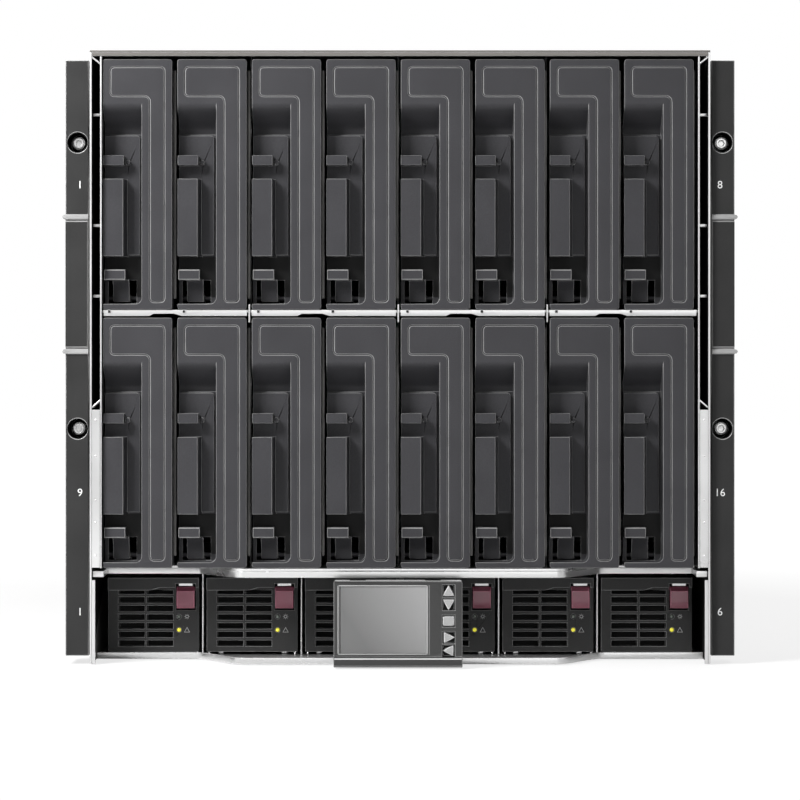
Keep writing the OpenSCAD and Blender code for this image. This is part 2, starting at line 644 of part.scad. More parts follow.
// One ducted fan module, its rear face at y = 0 and its axis at the origin
module fan_module() {
    r = fan_bore / 2;
    w = fan_pitch - 2.4;
    h = fan_body_h;
    color("dimgray") difference() {
        translate([0, -fan_d, 0]) along_y(0, fan_d) polygon(rounded([-w / 2, -h / 2], [w / 2, h / 2], 3));
        translate([0, 1, 0]) rotate([90, 0, 0]) cylinder(r = r, h = fan_d + 2);
        // chamfered outlet
        translate([0, -4, 0]) rotate([-90, 0, 0]) rotate_extrude() polygon([[0, 0], [r, 0], [r + 3, 5], [0, 5]]);
    }
    // guard, hub and struts
    color("dimgray") {
        difference() {
            rotate([90, 0, 0]) cylinder(r = 15, h = 30);
            rotate([90, 0, 0]) translate([0, 0, -1]) cylinder(r = 11, h = 3);
        }
        for (g = [21, 27, 33]) rotate([90, 0, 0]) difference() {
            translate([0, 0, 2]) cylinder(r = g + 0.8, h = 2.4);
            translate([0, 0, 1]) cylinder(r = g - 0.8, h = 5);
        }
        for (a = [0:60:300]) rotate([0, a, 0]) slab([14, r + 0.5], [-6.4, -2], [-0.9, 0.9]);
    }
    // rotor
    color("gray") {
        translate([0, -30, 0]) rotate([90, 0, 0]) cylinder(r = 14, h = 34);
        for (k = [0:fan_blades - 1]) rotate([0, k * 360 / fan_blades, 0])
            translate([0, -47, 0]) rotate([38, 0, 0]) slab([12, r - 1], [-13, 13], [-0.9, 0.9]);
    }
    // release grip at one corner
    color("indianred") translate([w / 2 - 10, 0, h / 2 - 12]) along_y(0, 5) polygon(rounded([-7, -9], [7, 9], 2));
}

module fan_modules() {
    for (n = [0:fan_columns - 1], z = fan_z)
        translate([(n + 0.5 - fan_columns / 2) * fan_pitch, rear_y - 6, z]) fan_module();
}

// Cover of one interconnect bay: a slotted plate with a latch block
module bay_cover() color("lightgray") {
    w = case_w / 2 - case_t - 3;
    h = switch_pitch - 2;
    difference() {
        slab([0, w], [-22, 0], [0, h]);
        slab([1.2, w - 1.2], [-23, -1.2], [1.2, h - 1.2]);
        for (k = [0:17], z = [7, h / 2 - 1.6, h - 10.2])
            slab([16 + k * (w - 60) / 18, 16 + (k + 0.72) * (w - 60) / 18], [-3, 1], [z, z + 3.2]);
    }
    slab([w - 34, w - 8], [0, 4], [h / 2 - 5, h / 2 + 5]);
}

// Power inlet: a shrouded socket with three flat pins
module inlet() {
    w = 31;
    h = 25;
    color("dimgray") difference() {
        along_y(0, 5) polygon(rounded([-w / 2, -h / 2], [w / 2, h / 2], 3));
        along_y(-1, 7) polygon(rounded([-w / 2 + 3.4, -h / 2 + 3.4], [w / 2 - 3.4, h / 2 - 3.4], 3));
    }
    color("dimgray") difference() {
        along_y(-22, 0) polygon(rounded([-w / 2 + 1, -h / 2 + 1], [w / 2 - 1, h / 2 - 1], 2.4));
        along_y(-19, 2) polygon(rounded([-w / 2 + 3.4, -h / 2 + 3.4], [w / 2 - 3.4, h / 2 - 3.4], 3));
    }
    color("silver") for (p = [[-7, -2], [7, -2], [0, 3.4]]) slab([p[0] - 1, p[0] + 1], [-19, -4], [p[1] - 3, p[1] + 3]);
}

module rear_modules() {
    half = case_w / 2 - case_t;
    for (k = [0:3]) both_sides()
        translate([1.6, rear_y - 6, rear_floor[2] + k * switch_pitch + 1.5]) bay_cover();
    // administration modules with their ejector levers, and the link block between them
    admin_z = [rear_floor[1] + case_t + 0.4, rear_floor[2] - 0.4];
    both_sides() color("silver") {
        difference() {
            slab([38, half - 1.6], [rear_y - 230, rear_y - 6], admin_z);
            slab([39.5, half - 3.1], [rear_y - 231, rear_y - 30], [admin_z[0] + 1.5, admin_z[1] - 1.5]);
            for (k = [0:9]) slab([46 + k * 5, 49 + k * 5], [rear_y - 16, rear_y - 5], [admin_z[0] + 8, admin_z[1] - 8]);
            slab([104, 124], [rear_y - 18, rear_y - 5], [admin_z[0] + 7, admin_z[0] + 21]);
            slab([132, 158], [rear_y - 14, rear_y - 5], [admin_z[0] + 8, admin_z[0] + 18]);
        }
        slab([half - 44, half - 6], [rear_y - 6, rear_y - 2], [admin_z[0] + 2, admin_z[0] + 7]);
    }
    color("silver") difference() {
        slab([-37, 37], [rear_y - 120, rear_y - 6], admin_z);
        for (x = [-24, 6]) slab([x, x + 16], [rear_y - 20, rear_y - 5], [admin_z[0] + 7, admin_z[0] + 21]);
    }
    // power input module
    color("silver") difference() {
        slab([-half + 0.6, half - 0.6], [rear_y - 120, rear_y - 10], [case_t + seam, roof_z - 0.4]);
        slab([-half + 2.2, half - 2.2], [rear_y - 121, rear_y - 44], [case_t + 1.7, roof_z - 2]);
        for (n = [0:supplies - 1]) translate([(n + 0.5 - supplies / 2) * supply_pitch, rear_y - 10, 18])
            along_y(-24, 1) polygon(rounded([-15.2, -12.2], [15.2, 12.2], 2.4));
        // exhaust slots
        for (k = [0:37]) slab([-half + 16 + k * (case_w - 40) / 38, -half + 22 + k * (case_w - 40) / 38],
                              [rear_y - 30, rear_y - 9], [38, roof_z - 8]);
    }
    for (n = [0:supplies - 1]) translate([(n + 0.5 - supplies / 2) * supply_pitch, rear_y - 10, 18]) inlet();
}

enclosure_case();
device_bay_cage();
ear_covers();
rack_screws();
power_tray();
midplane_board();
rear_cage();
fan_modules();
rear_modules();
display_carriage();
display_panel();
for (i = [0:4]) key(i);
for (n = [0:supplies - 1]) at_supply(n) power_supply();
for (n = [0:supplies - 1]) at_supply(n) supply_lever();
for (i = [0:2 * columns - 1]) at_blank(i) blade_blank();
for (i = [0:2 * columns - 1]) at_blank(i) blank_latch();
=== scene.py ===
import math

import bpy
import numpy as np
from mathutils import Matrix, Vector


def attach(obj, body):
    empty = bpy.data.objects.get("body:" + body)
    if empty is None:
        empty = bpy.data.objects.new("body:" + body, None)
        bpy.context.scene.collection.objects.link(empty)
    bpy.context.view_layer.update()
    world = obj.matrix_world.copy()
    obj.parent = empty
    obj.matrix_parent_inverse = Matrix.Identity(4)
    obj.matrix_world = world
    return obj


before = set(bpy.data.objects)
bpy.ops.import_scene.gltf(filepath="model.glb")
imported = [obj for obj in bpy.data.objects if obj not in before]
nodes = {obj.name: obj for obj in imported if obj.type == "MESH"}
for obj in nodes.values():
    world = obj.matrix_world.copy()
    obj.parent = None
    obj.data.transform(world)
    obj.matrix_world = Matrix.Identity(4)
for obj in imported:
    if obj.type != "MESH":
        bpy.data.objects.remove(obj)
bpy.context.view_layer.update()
scene = bpy.context.scene
scene.view_settings.view_transform = "Standard"

# sizes of the chassis, in metres, as in the CAD source
HALF = 0.2235
CASE_T = 0.0015
CASE_H = 0.442
FRONT = -0.040
REAR = 0.773
BAY_LEFT = -0.2148
BAY = 0.0537
BLANK_W = 0.0498
BLANK_Y = -0.038
ROW_Z = (0.2553, 0.0690)
SUPPLY_PITCH = 0.0722
SUPPLY_SIDE = 0.0028
SUPPLY_Z = 0.0052
SUPPLY_H = 0.0542
LAMP_X = 0.0519
LAMP_Z = (0.0159, 0.0257)
EAR_Y = -0.036
SCREW_X = 0.23255
SCREW_Z = (0.1693, 0.375675)
PANEL_Y = -0.072
PANEL_Z = 0.0074
PANEL_X = -0.0014
SCREEN = (-0.0426, 0.0207, 0.0100, 0.0586)
BLANK_GAP = 0.0007
MIDPLANE_Y = 0.47
DECK_Z = 0.064
BAY_FLOOR_Z = 0.069
PLATE_TOP = 0.1831
HEM_H = 0.0046
HEM_DEEP = 0.0082
SHELF_Z = (0.2524, 0.2551)
SCREW_CUP_R = 0.0078
RIB_Z = (0.322, 0.225)
RIB_HALF = 0.0017
HINGE_Y = -0.064
HINGE_Z = 0.0586
HINGE_R = 0.00145
# black sheet behind the midplane, painted shade: half width, heights and depths
SHADE_SHEET_X = 0.2203
SHADE_SHEET_Z = (0.066, CASE_H - 0.003)
SHADE_SHEET_Y = (0.4780, 0.4786)

# camera: distance ahead of the front, height, sensor width in mm, width in view, lens shift
CAMERA_AWAY = 2.30
CAMERA_Z = 0.221
SENSOR_W = 36
VIEW_W = 0.576
VIEW_SHIFT = -0.05375

# floor: half its side, its height, and where its fade to white starts and ends
FLOOR_HALF = 8.0
FLOOR_Z = -0.0006
FADE_FROM = 0.45
FADE_TO = 0.95
FADE_LEAST = 0.72
FLOOR_GLOW = 1.05
WORLD_FILL = 0.10

# surfaces: spread of the roughness, and the modifiers on the CAD nodes
ROUGH_PLAY = 0.05
WELD_GAP = 0.000004
EDGE_ANGLE = math.radians(32)
NORMAL_WEIGHT = 80

# marks: how far prints and numerals stand out, and the numerals' size
PRINT_OUT = 0.00006
PRINT_IN = 0.0001
NUMERAL_Y = EAR_Y - 0.00004
NUMERAL_SIZE = 0.0078
LENS_R = 0.0015
LENS_BASE_Y = 0.0006
LENS_RISE = 0.0009
ICON_X = 0.0578


# ---- camera, light, floor ----

def add_camera():
    data = bpy.data.cameras.new("camera")
    camera = bpy.data.objects.new("camera", data)
    scene.collection.objects.link(camera)
    camera.location = (0.0, FRONT - CAMERA_AWAY, CAMERA_Z)
    camera.rotation_euler = (math.radians(90), 0, 0)
    data.sensor_width = SENSOR_W
    data.lens = SENSOR_W * CAMERA_AWAY / VIEW_W
    data.shift_y = VIEW_SHIFT
    data.clip_start = 0.05
    data.clip_end = 40
    scene.camera = camera


def add_lamp(name, at, towards, size, watts):
    data = bpy.data.lights.new(name, "AREA")
    data.shape = "RECTANGLE"
    data.size, data.size_y = size
    data.energy = watts
    lamp = bpy.data.objects.new(name, data)
    scene.collection.objects.link(lamp)
    lamp.location = at
    aim = Vector(towards) - Vector(at)
    lamp.rotation_euler = aim.to_track_quat("-Z", "Y").to_euler()


def add_world():
    """Faint even light on the object, and plain white where a ray sees past it."""
    world = bpy.data.worlds.new("studio")
    scene.world = world
    world.use_nodes = True
    tree = world.node_tree
    tree.nodes.clear()
    path = tree.nodes.new("ShaderNodeLightPath")
    direct = tree.nodes.new("ShaderNodeMath")
    direct.operation = "MAXIMUM"
    seen = tree.nodes.new("ShaderNodeMath")
    seen.operation = "MAXIMUM"
    soft = tree.nodes.new("ShaderNodeBackground")
    soft.inputs[0].default_value = (1, 1, 1, 1)
    soft.inputs[1].default_value = WORLD_FILL
    white = tree.nodes.new("ShaderNodeBackground")
    white.inputs[0].default_value = (1, 1, 1, 1)
    white.inputs[1].default_value = 1.0
    mix = tree.nodes.new("ShaderNodeMixShader")
    out = tree.nodes.new("ShaderNodeOutputWorld")
    tree.links.new(path.outputs["Is Camera Ray"], direct.inputs[0])
    tree.links.new(path.outputs["Is Glossy Ray"], direct.inputs[1])
    tree.links.new(direct.outputs[0], seen.inputs[0])
    tree.links.new(path.outputs["Is Transmission Ray"], seen.inputs[1])
    tree.links.new(seen.outputs[0], mix.inputs[0])
    tree.links.new(soft.outputs[0], mix.inputs[1])
    tree.links.new(white.outputs[0], mix.inputs[2])
    tree.links.new(mix.outputs[0], out.inputs[0])


def add_floor():
    """Floor that keeps the shadow and fades to white away from the object."""
    mesh = bpy.data.meshes.new("floor")
    corners = [(-1, -1), (1, -1), (1, 1), (-1, 1)]
    verts = [(FLOOR_HALF * x, FLOOR_HALF * y, FLOOR_Z) for x, y in corners]
    mesh.from_pydata(verts, [], [(0, 1, 2, 3)])
    floor = bpy.data.objects.new("floor", mesh)
    scene.collection.objects.link(floor)
    mat = bpy.data.materials.new("floor")
    mat.use_nodes = True
    tree = mat.node_tree
    tree.nodes.clear()
    path = tree.nodes.new("ShaderNodeLightPath")
    where = tree.nodes.new("ShaderNodeTexCoord")
    reach = tree.nodes.new("ShaderNodeVectorMath")
    reach.operation = "DISTANCE"
    reach.inputs[1].default_value = (0, 0.3, 0)
    fade = tree.nodes.new("ShaderNodeMapRange")
    fade.inputs[1].default_value = FADE_FROM
    fade.inputs[2].default_value = FADE_TO
    fade.inputs[3].default_value = FADE_LEAST
    fade.inputs[4].default_value = 1.0
    share = tree.nodes.new("ShaderNodeMath")
    share.operation = "MULTIPLY"
    tree.links.new(where.outputs["Object"], reach.inputs[0])
    tree.links.new(reach.outputs["Value"], fade.inputs[0])
    tree.links.new(fade.outputs[0], share.inputs[1])
    diffuse = tree.nodes.new("ShaderNodeBsdfDiffuse")
    diffuse.inputs[0].default_value = (0.82, 0.82, 0.82, 1)
    glow = tree.nodes.new("ShaderNodeEmission")
    glow.inputs[1].default_value = FLOOR_GLOW
    mix = tree.nodes.new("ShaderNodeMixShader")
    out = tree.nodes.new("ShaderNodeOutputMaterial")
    tree.links.new(path.outputs["Is Camera Ray"], share.inputs[0])
    tree.links.new(share.outputs[0], mix.inputs[0])
    tree.links.new(diffuse.outputs[0], mix.inputs[1])
    tree.links.new(glow.outputs[0], mix.inputs[2])
    tree.links.new(mix.outputs[0], out.inputs[0])
    mesh.materials.append(mat)


# ---- materials ----

def grey(v, warm=0.0):
    """A linear colour from an sRGB level of 0 to 255."""
    c = v / 255
    lin = c / 12.92 if c <= 0.04045 else ((c + 0.055) / 1.055) ** 2.4
    return (lin * (1 + warm), lin, lin * (1 - warm))


def rgb(r, g, b):
    return tuple(grey(v)[1] for v in (r, g, b))


def material(name, colour, rough, metallic=0.0, shade=0.12, patch=30.0, grain=0.0,
             grain_size=1400.0, stretch=(1, 1, 1), coat=0.0, specular=0.5, speckle=0.0,
             glow=0.0):
    """Principled surface with uneven colour and roughness and a fine moulded or rolled grain."""
    mat = bpy.data.materials.new(name)
    mat.use_nodes = True
    tree = mat.node_tree
    tree.nodes.clear()
    new, link = tree.nodes.new, tree.links.new
    out = new("ShaderNodeOutputMaterial")
    skin = new("ShaderNodeBsdfPrincipled")
    link(skin.outputs[0], out.inputs[0])
    where = new("ShaderNodeTexCoord")
    scale = new("ShaderNodeMapping")
    scale.inputs["Scale"].default_value = stretch
    link(where.outputs["Object"], scale.inputs[0])

    cloud = new("ShaderNodeTexNoise")
    cloud.inputs["Scale"].default_value = patch
    cloud.inputs["Detail"].default_value = 4
    link(scale.outputs[0], cloud.inputs[0])
    fine = new("ShaderNodeTexNoise")
    fine.inputs["Scale"].default_value = grain_size
    fine.inputs["Detail"].default_value = 2
    link(scale.outputs[0], fine.inputs[0])

    tint = new("ShaderNodeMix")
    tint.data_type = "RGBA"
    tint.inputs[6].default_value = (*[c * (1 - shade) for c in colour], 1)
    tint.inputs[7].default_value = (*[min(1, c * (1 + shade)) for c in colour], 1)
    spread = new("ShaderNodeMapRange")
    spread.inputs[1].default_value = 0.3
    spread.inputs[2].default_value = 0.7
    link(cloud.outputs[0], spread.inputs[0])
    link(spread.outputs[0], tint.inputs[0])
    shown = tint.outputs[2]
    if speckle:
        dust = new("ShaderNodeMix")
        dust.data_type = "RGBA"
        dust.blend_type = "MULTIPLY"
        dust.inputs[0].default_value = 1.0
        dots = new("ShaderNodeMapRange")
        dots.inputs[1].default_value = 0.25
        dots.inputs[2].default_value = 0.75
        dots.inputs[3].default_value = 1 - speckle
        dots.inputs[4].default_value = 1 + speckle
        link(fine.outputs[0], dots.inputs[0])
        link(shown, dust.inputs[6])
        link(dots.outputs[0], dust.inputs[7])
        shown = dust.outputs[2]
    link(shown, skin.inputs["Base Color"])

    gloss = new("ShaderNodeMapRange")
    gloss.inputs[1].default_value = 0.3
    gloss.inputs[2].default_value = 0.7
    gloss.inputs[3].default_value = max(0.03, rough - ROUGH_PLAY)
    gloss.inputs[4].default_value = min(1.0, rough + ROUGH_PLAY)
    link(cloud.outputs[0], gloss.inputs[0])
    link(gloss.outputs[0], skin.inputs["Roughness"])
    if grain:
        bump = new("ShaderNodeBump")
        bump.inputs["Strength"].default_value = 0.6
        bump.inputs["Distance"].default_value = grain
        link(fine.outputs[0], bump.inputs["Height"])
        link(bump.outputs[0], skin.inputs["Normal"])
    skin.inputs["Metallic"].default_value = metallic
    skin.inputs["Specular IOR Level"].default_value = specular
    skin.inputs["Coat Weight"].default_value = coat
    skin.inputs["Coat Roughness"].default_value = 0.12
    if glow:
        skin.inputs["Emission Color"].default_value = (*colour, 1)
        skin.inputs["Emission Strength"].default_value = glow
    return mat


charcoal_tint = tuple(c * t for c, t in zip(grey(56), (1, 0.99, 1.08)))
charcoal = material("charcoal_plastic", charcoal_tint, 0.42, shade=0.08, grain=0.00006,
                    grain_size=1500, speckle=0.16, specular=0.16)
# lighter copy for the bevels of the charcoal parts: painted edge highlight
charcoal_edge_highlight = material("charcoal_edge_highlight", grey(138), 0.30, shade=0.10, patch=60, specular=0.3)
shield_steel = material("shield_steel", grey(84, 0.03), 0.4, metallic=0.6, shade=0.12,
                        patch=40, stretch=(1, 1, 0.1))
# painted shade for the foot of the hand recesses and the shelf front
recess_painted_shade = material("recess_painted_shade", grey(20), 0.6, shade=0.2, specular=0.2)
ear_plastic = material("ear_plastic", grey(46), 0.45, shade=0.12, grain=0.00005,
                       grain_size=1500, speckle=0.14, specular=0.14)
# lighter copy for the bevels and ribs of the ear covers: painted highlight
ear_edge_highlight = material("ear_edge_highlight", grey(150), 0.32, shade=0.1, patch=60)
dark_plastic = material("dark_plastic", grey(46), 0.45, shade=0.12, grain=0.00005,
                        speckle=0.12, specular=0.16)
# lighter copy for the bevels of the dark parts: painted edge highlight
dark_edge_highlight = material("dark_edge_highlight", grey(112), 0.34, shade=0.1)
# painted shade: near black for hollows, inner walls, wells and gaps
painted_shade = material("painted_shade_black", grey(9), 0.7, shade=0.2, specular=0.2)
case_steel = material("case_steel", grey(132, 0.02), 0.46, metallic=0.5, shade=0.07, patch=14,
                      grain=0.00002, stretch=(1, 0.06, 1))
hem_steel = material("hem_steel", grey(112, 0.06), 0.35, metallic=0.7, shade=0.12, patch=22,
                     stretch=(0.15, 1, 1))
bright = material("bright_steel", grey(205), 0.30, metallic=0.85, shade=0.06, patch=24,
                  grain=0.00001, stretch=(0.1, 1, 1))
# pale steel: painted highlight on the bevels of the cage, screws and tray; also the plate rivets
pale_steel_and_highlight = material("pale_steel_and_edge_highlight", grey(235), 0.25, metallic=0.6, shade=0.05, patch=60)
galvanised = material("galvanised_plate", grey(196), 0.5, metallic=0.35, shade=0.08,
                      patch=260, speckle=0.10, grain=0.00002, grain_size=2200)
screw_metal = material("screw_metal", grey(200), 0.25, metallic=0.95, shade=0.06, patch=400)
maroon = material("maroon_plastic", rgb(122, 58, 76), 0.34, shade=0.10, patch=90,
                  coat=0.25)
# lighter copy for the bevels of the levers: painted edge highlight
maroon_edge_highlight = material("maroon_edge_highlight", rgb(176, 110, 128), 0.3, shade=0.1)
gloss_black = material("gloss_black", grey(22), 0.16, shade=0.15, coat=0.5)
# lighter copy for the bevels of the display panel: painted edge highlight
gloss_edge_highlight = material("gloss_edge_highlight", grey(120), 0.22, shade=0.1)
button_grey = material("button_grey", grey(160), 0.4, shade=0.06, patch=200)
# lighter copy for the bevels of the buttons: painted edge highlight
button_edge_highlight = material("button_edge_highlight", grey(215), 0.35, shade=0.05)
board = material("board_green", rgb(28, 74, 52), 0.4, shade=0.15, patch=120, speckle=0.1)
white_print = material("white_print", grey(226), 0.5, shade=0.03)
grey_print = material("grey_print", grey(170), 0.5, shade=0.03)
lamp_off = material("lamp_off", rgb(70, 78, 70), 0.2, shade=0.1, coat=0.5)
lamp_on = material("lamp_on", rgb(214, 205, 60), 0.2, shade=0.05, coat=0.5, glow=0.6)
rear_grey = material("rear_grey", grey(176), 0.45, metallic=0.5, shade=0.06, patch=30,
                     speckle=0.04)


def screen_material():
    """Grey display glass with a slanting sheen painted into its colour."""
    mat = material("screen_glass", grey(128), 0.12, coat=0.6)
    tree = mat.node_tree
    skin = next(n for n in tree.nodes if n.type == "BSDF_PRINCIPLED")
    where = tree.nodes.new("ShaderNodeTexCoord")
    turn = tree.nodes.new("ShaderNodeMapping")
    turn.inputs["Location"].default_value = (0.62, 0, -0.42)
    turn.inputs["Scale"].default_value = (14, 1, 9)
    split = tree.nodes.new("ShaderNodeSeparateXYZ")
    total = tree.nodes.new("ShaderNodeMath")
    total.operation = "ADD"
    ramp = tree.nodes.new("ShaderNodeValToRGB")
    stops = ramp.color_ramp.elements
    stops[0].position, stops[0].color = 0.0, (*grey(96), 1)
    stops[1].position, stops[1].color = 1.0, (*grey(150), 1)
    tree.links.new(where.outputs["Object"], turn.inputs[0])
    tree.links.new(turn.outputs[0], split.inputs[0])
    tree.links.new(split.outputs[0], total.inputs[0])
    tree.links.new(split.outputs[2], total.inputs[1])
    tree.links.new(total.outputs[0], ramp.inputs[0])
    tree.links.new(ramp.outputs[0], skin.inputs["Base Color"])
    return mat


screen_glass = screen_material()


# ---- CAD nodes ----

def dress(name, base, edge_highlight=None, bevel=0.0003, segments=2, zones=()):
    """Gives a CAD node its materials by place and rounds its hard edges with modifiers.

    A zone is a material and a test on the faces' centres and normals; the last one wins.
    The bevels take the edge material, where one is given, as a painted highlight.
    """
    obj = nodes[name]
    mesh = obj.data
    mesh.materials.clear()
    for mat in [base] + ([edge_highlight] if edge_highlight else []) + [z[0] for z in zones]:
        mesh.materials.append(mat)
    count = len(mesh.polygons)
    centre = np.empty(count * 3)
    normal = np.empty(count * 3)
    mesh.polygons.foreach_get("center", centre)
    mesh.polygons.foreach_get("normal", normal)
    centre, normal = centre.reshape(-1, 3), normal.reshape(-1, 3)
    index = np.zeros(count, dtype=np.int32)
    first = 2 if edge_highlight else 1
    for k, (_, test) in enumerate(zones):
        index[test(centre, normal)] = first + k
    mesh.polygons.foreach_set("material_index", index)
    mesh.polygons.foreach_set("use_smooth", np.full(count, bool(bevel)))
    if "custom_normal" in mesh.attributes:
        mesh.attributes.remove(mesh.attributes["custom_normal"])
    weld = obj.modifiers.new("weld", "WELD")
    weld.merge_threshold = WELD_GAP
    if bevel:
        soft = obj.modifiers.new("bevel", "BEVEL")
        soft.width = bevel
        soft.segments = segments
        soft.limit_method = "ANGLE"
        soft.angle_limit = EDGE_ANGLE
        soft.use_clamp_overlap = False
        # the bevel faces get the lighter edge material: a painted highlight
        if edge_highlight:
            soft.material = 1
        even = obj.modifiers.new("normals", "WEIGHTED_NORMAL")
        even.keep_sharp = True
        even.weight = NORMAL_WEIGHT


def bay_left(i):
    """Left side of a blank, counted from 0, eight to a row."""
    return BAY_LEFT + (i % 8) * BAY + BLANK_GAP


def supply_left(n):
    """Left side of a power supply, counted from 0."""
    return (n - 3) * SUPPLY_PITCH + SUPPLY_SIDE


def near(values, at, gap=0.00012):
    return np.abs(values - at) < gap


def from_screw(c):
    """Distance in X and Z from the axis of the nearest captive screw."""
    across = np.abs(c[:, 0]) - SCREW_X
    return np.minimum(*[np.hypot(across, c[:, 2] - z) for z in SCREW_Z])


def dress_chassis():
    # the case's bevels take bright steel: a painted edge highlight
    dress("enclosure_case", case_steel, bright, bevel=0.00015, segments=1, zones=[
        (hem_steel, lambda c, n: (c[:, 2] > CASE_H - HEM_H) & (c[:, 1] < FRONT + HEM_DEEP)
         & (np.abs(c[:, 0]) < HALF)),
        # painted shade: the inner faces of the side sheets, in front of the midplane
        (painted_shade, lambda c, n: (np.abs(c[:, 0]) < HALF - CASE_T + 0.0001)
         & (np.abs(n[:, 0]) > 0.9) & (c[:, 1] < MIDPLANE_Y) & (c[:, 2] > DECK_Z)),
        (galvanised, lambda c, n: (np.abs(c[:, 0]) < HALF - CASE_T)
         & (c[:, 1] < FRONT + 0.0016) & (c[:, 2] > BAY_FLOOR_Z) & (c[:, 2] < PLATE_TOP)
         & (n[:, 1] < -0.5)),
        # painted highlight: bright steel on the front edges of the sheets
        (bright, lambda c, n: (c[:, 1] < FRONT + 0.0021) & (c[:, 2] < CASE_H - 0.005)),
        (dark_plastic, lambda c, n: np.abs(c[:, 0]) > HALF + 0.00005),
    ])
    dress("device_bay_cage", bright, pale_steel_and_highlight, bevel=0.00025, segments=1, zones=[
        # painted shade: the side walls of the ducts beside the bays
        (painted_shade, lambda c, n: near(np.abs(c[:, 0]), 0.216) & (np.abs(n[:, 0]) > 0.9)),
        # painted shade: the cage's faces deep behind the front, in dark plastic
        (dark_plastic, lambda c, n: (np.abs(c[:, 0]) < 0.2155) & (c[:, 1] > FRONT + 0.0115)
         & (c[:, 2] > 0.0688)),
        # painted shade: the front of the shelf between the rows
        (recess_painted_shade, lambda c, n: (c[:, 1] < FRONT + 0.00295) & (c[:, 2] > SHELF_Z[0])
         & (c[:, 2] < SHELF_Z[1]) & (np.abs(c[:, 0]) < 0.2145)),
    ])
    dress("ear_covers", ear_plastic, ear_edge_highlight, bevel=0.0005, zones=[
        # painted shade: the inside of the screw cups
        (painted_shade, lambda c, n: (from_screw(c) < SCREW_CUP_R) & (c[:, 1] > EAR_Y + 0.0003)),
        # painted highlight: the fronts of the two ribs, in the lighter edge material
        (ear_edge_highlight, lambda c, n: (c[:, 1] < EAR_Y - 0.0003)
         & (near(c[:, 2], RIB_Z[0], RIB_HALF) | near(c[:, 2], RIB_Z[1], RIB_HALF))),
    ])
    dress("rack_screws", screw_metal, pale_steel_and_highlight, bevel=0.0003)
    dress("power_tray", bright, pale_steel_and_highlight, bevel=0.0003, segments=1)
    dress("midplane_board", board, bevel=0, zones=[
        (dark_plastic, lambda c, n: c[:, 1] < 0.4699),
    ])
    dress("rear_cage", bright, bevel=0)


def dress_display():
    dress("display_carriage", dark_plastic, dark_edge_highlight, bevel=0.0003)
    dress("display_panel", gloss_black, gloss_edge_highlight, bevel=0.0004, zones=[
        (screen_glass, lambda c, n: (c[:, 1] > PANEL_Y + 0.0004) & (c[:, 1] < PANEL_Y + 0.0013)
         & (n[:, 1] < -0.5) & (c[:, 0] > PANEL_X + SCREEN[0] + 0.0006)
         & (c[:, 0] < PANEL_X + SCREEN[1])),
        # painted shade: the faces 0.5 to 5 mm deep in the panel, right of the screen
        (painted_shade, lambda c, n: (c[:, 0] > PANEL_X + 0.0303) & (c[:, 0] < PANEL_X + 0.0416)
         & (c[:, 1] > PANEL_Y + 0.0005) & (c[:, 1] < PANEL_Y + 0.0052)),
        (screw_metal, lambda c, n: np.hypot(c[:, 1] - HINGE_Y, c[:, 2] - HINGE_Z) < HINGE_R),
    ])
    for key in ("button_up", "button_down", "button_ok", "button_right", "button_left"):
        dress(key, button_grey, button_edge_highlight, bevel=0.0003, zones=[
            # painted shade: the buttons' faces behind their fronts
            (painted_shade, lambda c, n: c[:, 1] > PANEL_Y + 0.0019),
        ])


def dress_supplies():
    for n in range(6):
        x0 = supply_left(n)
        top = SUPPLY_Z + SUPPLY_H
        dress(f"power_supply_{n + 1}", dark_plastic, dark_edge_highlight, bevel=0.0003, zones=[
            (bright, lambda c, m: (c[:, 1] < -0.0005) & (c[:, 2] > top - 0.0059)
             & (c[:, 2] < top - 0.0041) & (c[:, 0] > x0 + 0.0513) & (c[:, 0] < x0 + 0.0627)),
            (case_steel, lambda c, m: c[:, 1] > 0.01405),
            # painted shade: the faces 3.5 to 10 mm deep behind the supply's face
            (painted_shade, lambda c, m: (c[:, 1] > 0.0035) & (c[:, 1] < 0.0101)
             & (c[:, 0] < x0 + 0.048) & (c[:, 0] > x0 + 0.007)
             & (c[:, 2] > SUPPLY_Z + 0.002) & (c[:, 2] < SUPPLY_Z + 0.0465)),
        ])
        dress(f"supply_lever_{n + 1}", maroon, maroon_edge_highlight, bevel=0.0005)


def dress_blanks():
    for i in range(16):
        right = bay_left(i) + BLANK_W
        dress(f"blade_blank_{i + 1:02d}", charcoal, charcoal_edge_highlight, bevel=0.00022, segments=1,
              zones=[(shield_steel, lambda c, n: c[:, 0] > right + 0.00005)])
        dress(f"blank_latch_{i + 1:02d}", charcoal, charcoal_edge_highlight, bevel=0.0004)


def dress_rear():
    dress("fan_modules", dark_plastic, bevel=0, zones=[
        (button_grey, lambda c, n: (c[:, 1] < REAR - 0.0355) & (c[:, 1] > REAR - 0.08)),
    ])
    dress("rear_modules", rear_grey, bevel=0)


# ---- small pieces ----

def add_mesh(name, verts, faces, mat, body, smooth=False):
    mesh = bpy.data.meshes.new(name)
    mesh.from_pydata(verts, [], faces)
    mesh.materials.append(mat)
    if smooth:
        mesh.polygons.foreach_set("use_smooth", [True] * len(mesh.polygons))
    obj = bpy.data.objects.new(name, mesh)
    scene.collection.objects.link(obj)
    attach(obj, body)


def prism(outline, y_front, y_back):
    """Solid from an outline in X and Z, as vertices and faces."""
    n = len(outline)
    verts = [(x, y_front, z) for x, z in outline] + [(x, y_back, z) for x, z in outline]
    faces = [list(range(n)), list(range(2 * n - 1, n - 1, -1))]
    faces += [[(k + 1) % n, k, n + k, n + (k + 1) % n] for k in range(n)]
    return verts, faces


def merge(parts):
    verts, faces = [], []
    for v, f in parts:
        base = len(verts)
        verts += v
        faces += [[base + k for k in face] for face in f]
    return verts, faces


